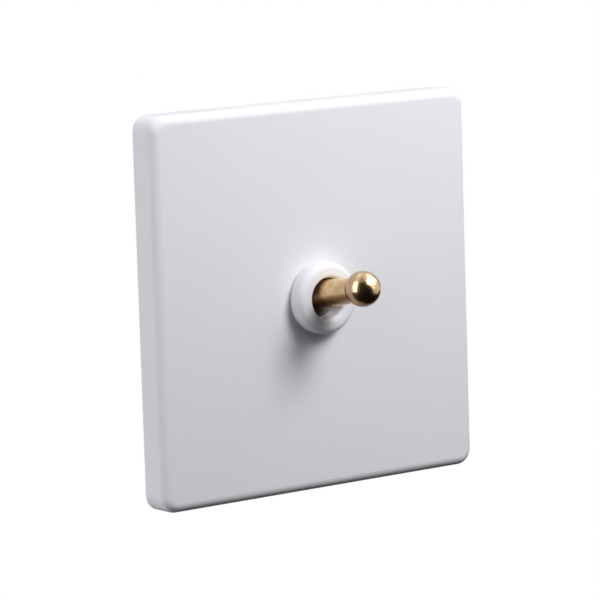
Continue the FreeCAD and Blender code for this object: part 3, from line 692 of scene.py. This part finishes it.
def slotted_head(sizes, under, end):
    """A cheese head with a rounded rim, a slot across it and soft edges."""
    deselect()
    bpy.ops.mesh.primitive_cylinder_add(
        vertices=HEAD_SIDES, radius=sizes.head_radius, depth=end - under,
        location=(0, (under + end) / 2, 0), rotation=(math.radians(-90), 0, 0))
    head = bpy.context.object
    settle(head)
    unmark(head)
    pick(head, lambda f: f.normal.y > 0.9, "FACE")
    bpy.ops.mesh.bevel(offset=sizes.head_edge, offset_type="OFFSET", segments=5, affect="EDGES")
    deselect()
    bpy.ops.mesh.primitive_cube_add(
        size=1, location=(0, end, 0),
        scale=(sizes.head_radius * 2 * BLADE_EXCESS, sizes.slot_depth * 2, sizes.slot_width))
    blade = bpy.context.object
    settle(blade)
    slot = head.modifiers.new("Slot", "BOOLEAN")
    slot.operation = "DIFFERENCE"
    slot.solver = "EXACT"
    slot.object = blade
    apply_modifier(head, slot)
    bpy.data.objects.remove(blade)
    soft = head.modifiers.new("Soft edges", "BEVEL")
    soft.width = sizes.small_edge
    soft.segments = 2
    soft.limit_method = "ANGLE"
    soft.angle_limit = math.radians(40)
    apply_modifier(head, soft)
    return head


def clamp_screw(sizes, name, start, under, end):
    """One clamp screw along Y, its head towards +Y."""
    shank = threaded_shank(sizes, start, under + SHANK_IN_HEAD)
    head = slotted_head(sizes, under, end)
    activate(head)
    shank.select_set(True)
    bpy.ops.object.join()
    bpy.ops.object.shade_smooth_by_angle(angle=SMOOTH_ANGLE)
    head.name = name
    head.data.name = name
    return head


# Studio

def lay_floor(studio):
    """A round pale floor, white to the camera, on which a shadow still shows under the switch."""
    deselect()
    bpy.ops.mesh.primitive_circle_add(
        vertices=96, radius=studio.floor_radius, fill_type="NGON", location=(0, 0, -studio.floor_drop))
    floor = bpy.context.object
    floor.name = "studio_floor"
    pale = new_finish("studio_floor", 1.0)
    socket(pale, "Base Color").default_value = FLOOR_TONE
    socket(pale, "Specular IOR Level").default_value = 0.0
    socket(pale, "Emission Color").default_value = WHITE
    distance = node(pale, "ShaderNodeVectorMath", operation="LENGTH")
    join(pale, surface_place(pale), distance.inputs[0])
    glow = spread(pale, distance.outputs["Value"], *FLOOR_GLOW, *FLOOR_GLOW_REACH)
    join(pale, sums(pale, "MULTIPLY", glow, seen_directly(pale)), socket(pale, "Emission Strength"))
    floor.data.materials.append(pale)
    floor.visible_diffuse = False


def bearing(face):
    """Azimuth and elevation of a face, in degrees."""
    azimuth = math.degrees(math.atan2(face.center.x, -face.center.y))
    return azimuth, math.degrees(math.asin(face.center.normalized().z))


def within(value, limits):
    """Whether a value lies between two limits."""
    return limits[0] < value < limits[1]


def on_card(face):
    """Whether a card hangs here: in front with a slanted right edge, behind at the right, or below."""
    azimuth, elevation = bearing(face)
    left_edge, right_edge = FRONT_CARD_AZIMUTH
    front = left_edge < azimuth < right_edge - elevation / 2 and elevation < FRONT_CARD_TOP
    behind = within(azimuth, BACK_CARD_AZIMUTH) and within(elevation, BACK_CARD_ELEVATION)
    low_top = LOW_CARD_DIP_TOP if within(azimuth, LOW_CARD_DIP_AZIMUTH) else LOW_CARD_TOP
    return front or behind or elevation < low_top


def on_dim_card(face):
    """Whether the card here is a dim one: above the front, or low behind."""
    azimuth, elevation = bearing(face)
    above = azimuth < DIM_TOP_RIGHT_EDGE and elevation > DIM_TOP_BEGINS
    low_behind = not within(azimuth, DIM_LOW_GAP_AZIMUTH) and elevation < DIM_LOW_ENDS
    return above or low_behind


def card_finish(name, glow):
    """A black card without shine, which may glow a little."""
    card = new_finish(name, 1.0)
    socket(card, "Base Color").default_value = CARD_TONE
    socket(card, "Specular IOR Level").default_value = 0.0
    socket(card, "Emission Color").default_value = WHITE
    socket(card, "Emission Strength").default_value = glow
    return card


def hang_cards(studio):
    """Dark and dim cards round the switch, only for reflections."""
    deselect()
    bpy.ops.mesh.primitive_uv_sphere_add(
        segments=72, ring_count=36, radius=studio.card_radius, location=(0, 0, 0))
    cards = bpy.context.object
    cards.name = "dark_cards"
    unmark(cards)
    pick(cards, lambda face: not on_card(face), "FACE")
    bpy.ops.mesh.delete(type="FACE")
    bpy.ops.object.mode_set(mode="OBJECT")
    cards.data.materials.append(card_finish("dark_card", 0.0))
    cards.data.materials.append(card_finish("dim_card", DIM_CARD_GLOW))
    for face in cards.data.polygons:
        face.material_index = 1 if on_dim_card(face) else 0
    cards.visible_camera = False
    cards.visible_diffuse = False
    cards.visible_transmission = False
    cards.visible_shadow = False


def lamp(name, place, size, power):
    """A soft panel that faces the switch."""
    deselect()
    bpy.ops.object.light_add(type="AREA", location=place)
    made = bpy.context.object
    made.name = name
    made.rotation_euler = (-Vector(place)).to_track_quat("-Z", "Y").to_euler()
    made.data.shape = "RECTANGLE"
    made.data.size = size[0]
    made.data.size_y = size[1]
    made.data.energy = power
    made.visible_camera = False
    return made


def white_surround(scene, ambient):
    """A white surround for the camera and for mirrors, and a little even light for the rest."""
    world = bpy.data.worlds.new("white_surround")
    world.use_nodes = True
    scene.world = world
    sky = world.node_tree.nodes["Background"]
    sky.inputs["Color"].default_value = WHITE
    join(world, spread(world, seen_directly(world), ambient, 1.0), sky.inputs["Strength"])


def set_camera(scene, studio):
    """The camera at the photograph's view."""
    azimuth = studio.camera_azimuth
    elevation = studio.camera_elevation
    back = Vector((math.sin(azimuth) * math.cos(elevation),
                   -math.cos(azimuth) * math.cos(elevation),
                   math.sin(elevation)))
    place = back * studio.camera_distance
    right = (-back).cross(Vector((0, 0, 1))).normalized()
    up = right.cross(-back)
    tilt = Matrix.Rotation(-studio.camera_roll, 4, "Z")
    aim = Matrix.Rotation(-studio.camera_roll, 3, -back) @ (right * studio.aim_right + up * studio.aim_up)
    look = (aim - place).to_track_quat("-Z", "Y").to_matrix().to_4x4()
    bpy.ops.object.camera_add()
    camera = bpy.context.object
    camera.name = "picture_camera"
    camera.matrix_world = Matrix.Translation(place) @ look @ tilt
    camera.data.sensor_width = SENSOR_WIDTH
    camera.data.lens = studio.camera_lens
    camera.data.clip_start = CLIP_START
    camera.data.clip_end = CLIP_END
    scene.camera = camera


# Operators

class DOLLY_OT_plate(bpy.types.Operator):
    """Finishes the plate and the collar"""

    bl_idname = "dolly_switch.plate"
    bl_label = "Plate and collar"

    def execute(self, context):
        give(white_moulding(context.scene.dolly_finish), "front_plate", "collar")
        return {"FINISHED"}


class DOLLY_OT_lever(bpy.types.Operator):
    """Finishes the turned lever"""

    bl_idname = "dolly_switch.lever"
    bl_label = "Brass lever"

    def execute(self, context):
        give(turned_brass(context.scene.dolly_finish), "dolly")
        return {"FINISHED"}


class DOLLY_OT_mounting(bpy.types.Operator):
    """Finishes the bush, its nut, washer and pin, the yoke and the switch cover"""

    bl_idname = "dolly_switch.mounting"
    bl_label = "Bush, yoke and cover"

    def execute(self, context):
        colours = context.scene.dolly_finish
        nickel = plated_metal(
            "nickel_plate", colours.nickel, roughness=0.22, grain=0.15 * MM, depth=1.2 * MICRON)
        steel = plated_metal(
            "bright_steel", colours.steel, roughness=0.26, grain=0.12 * MM, depth=1.2 * MICRON)
        give(nickel, "bush", "lock_nut")
        give(steel, "pivot_pin", "lock_washer")
        give(zinc_plate(colours), "yoke", "switch_cover")
        return {"FINISHED"}


class DOLLY_OT_base(bpy.types.Operator):
    """Finishes the base moulding and the insulating sheet"""

    bl_idname = "dolly_switch.base"
    bl_label = "Base and sheet"

    def execute(self, context):
        colours = context.scene.dolly_finish
        give(moulded_phenolic(colours), "base_moulding")
        give(pressed_fibre(colours), "insulating_sheet")
        return {"FINISHED"}


class DOLLY_OT_contacts(bpy.types.Operator):
    """Finishes the terminals, the rocker with its tips and the plunger"""

    bl_idname = "dolly_switch.contacts"
    bl_label = "Contacts and plunger"

    def execute(self, context):
        colours = context.scene.dolly_finish
        give(drawn_brass(colours), "common_terminal", "upper_terminal", "lower_terminal",
             "earth_terminal", "rocker_contact")
        silver = plated_metal(
            "contact_silver", colours.silver, roughness=0.30, grain=0.10 * MM, depth=1.5 * MICRON)
        give(silver, "rocker_tips", "fixed_tips")
        give(natural_nylon(colours), "plunger")
        return {"FINISHED"}


class DOLLY_OT_spring(bpy.types.Operator):
    """Lays a smooth copy of the coil spring, which rides with the lever"""

    bl_idname = "dolly_switch.spring"
    bl_label = "Plunger spring"

    def execute(self, context):
        colours = context.scene.dolly_finish
        spring = merged_copy("plunger_spring", "coil_spring")
        cover(spring, plated_metal(
            "spring_steel", colours.steel, roughness=0.30, grain=0.08 * MM, depth=1.0 * MICRON))
        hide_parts("plunger_spring")
        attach(spring, "lever")
        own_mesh(spring)
        return {"FINISHED"}


class DOLLY_OT_screws(bpy.types.Operator):
    """Models the slotted clamp screws with their threads"""

    bl_idname = "dolly_switch.screws"
    bl_label = "Clamp screws"

    def execute(self, context):
        sizes = context.scene.dolly_screw
        colours = context.scene.dolly_finish
        low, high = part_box("terminal_screws")
        rise = (high.z - low.z) / 2 - sizes.head_radius
        under = high.y - sizes.head_depth
        common = clamp_screw(sizes, "common_screw", low.y, under, high.y)
        cover(common, plated_metal(
            "screw_steel", colours.screw_steel, roughness=0.28, grain=0.14 * MM, depth=1.6 * MICRON))
        upper = moved_copy(common, "upper_screw", Vector((0, 0, rise)))
        lower = moved_copy(common, "lower_screw", Vector((0, 0, -rise)))
        earth_low, earth_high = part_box("earth_screw")
        middle = (earth_low + earth_high) / 2
        to_earth = Vector((middle.x, earth_high.y - high.y, middle.z))
        earth = moved_copy(common, "earth_clamp_screw", to_earth)
        for screw in (common, upper, lower):
            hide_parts("terminal_screws")
        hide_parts("earth_screw")
        for screw in (common, upper, lower, earth):
            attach(screw, "housing")
        return {"FINISHED"}


class DOLLY_OT_studio(bpy.types.Operator):
    """Sets the floor, the cards, the lamps and the camera"""

    bl_idname = "dolly_switch.studio"
    bl_label = "Studio"

    def execute(self, context):
        studio = context.scene.dolly_studio
        context.scene.view_settings.view_transform = "Standard"
        lay_floor(studio)
        hang_cards(studio)
        lamp("key_softbox", studio.key_place, studio.key_size, studio.key_power)
        lamp("window_softbox", studio.window_place, studio.window_size, studio.window_power)
        mirrored = lamp("right_panel", studio.right_place, studio.right_size, studio.right_power)
        mirrored.visible_diffuse = False
        lamp("left_strip", studio.left_place, studio.left_size, studio.left_power)
        lamp("side_panel", studio.side_place, studio.side_size, studio.side_power)
        lamp("rear_panel", studio.rear_place, studio.rear_size, studio.rear_power)
        lamp("back_panel", studio.back_place, studio.back_size, studio.back_power)
        white_surround(context.scene, studio.ambient)
        set_camera(context.scene, studio)
        return {"FINISHED"}


class DOLLY_PT_panel(bpy.types.Panel):
    """Lists the steps and their settings"""

    bl_idname = "DOLLY_PT_panel"
    bl_label = "Dolly switch"
    bl_space_type = "VIEW_3D"
    bl_region_type = "UI"
    bl_category = "Dolly switch"

    def draw(self, context):
        column = self.layout.column()
        for operator in OPERATORS:
            column.operator(operator.bl_idname)
        for name in SETTINGS:
            group = getattr(context.scene, name)
            box = column.box()
            for setting in group.__annotations__:
                box.prop(group, setting)


OPERATORS = (
    DOLLY_OT_plate,
    DOLLY_OT_lever,
    DOLLY_OT_mounting,
    DOLLY_OT_base,
    DOLLY_OT_contacts,
    DOLLY_OT_spring,
    DOLLY_OT_screws,
    DOLLY_OT_studio,
)
SETTINGS = {
    "dolly_finish": FinishSettings,
    "dolly_screw": ScrewSettings,
    "dolly_studio": StudioSettings,
}


def register():
    """Adds the settings, the operators and the panel to Blender."""
    for name, settings in SETTINGS.items():
        bpy.utils.register_class(settings)
        setattr(bpy.types.Scene, name, bpy.props.PointerProperty(type=settings))
    for made in (*OPERATORS, DOLLY_PT_panel):
        bpy.utils.register_class(made)


def unregister():
    """Takes them out again, in reverse order."""
    for made in reversed((*OPERATORS, DOLLY_PT_panel)):
        bpy.utils.unregister_class(made)
    for name, settings in reversed(SETTINGS.items()):
        delattr(bpy.types.Scene, name)
        bpy.utils.unregister_class(settings)


def main():
    """Runs every operator."""
    register()
    bpy.ops.dolly_switch.plate()
    bpy.ops.dolly_switch.lever()
    bpy.ops.dolly_switch.mounting()
    bpy.ops.dolly_switch.base()
    bpy.ops.dolly_switch.contacts()
    bpy.ops.dolly_switch.spring()
    bpy.ops.dolly_switch.screws()
    bpy.ops.dolly_switch.studio()


if __name__ == "__main__":
    main()
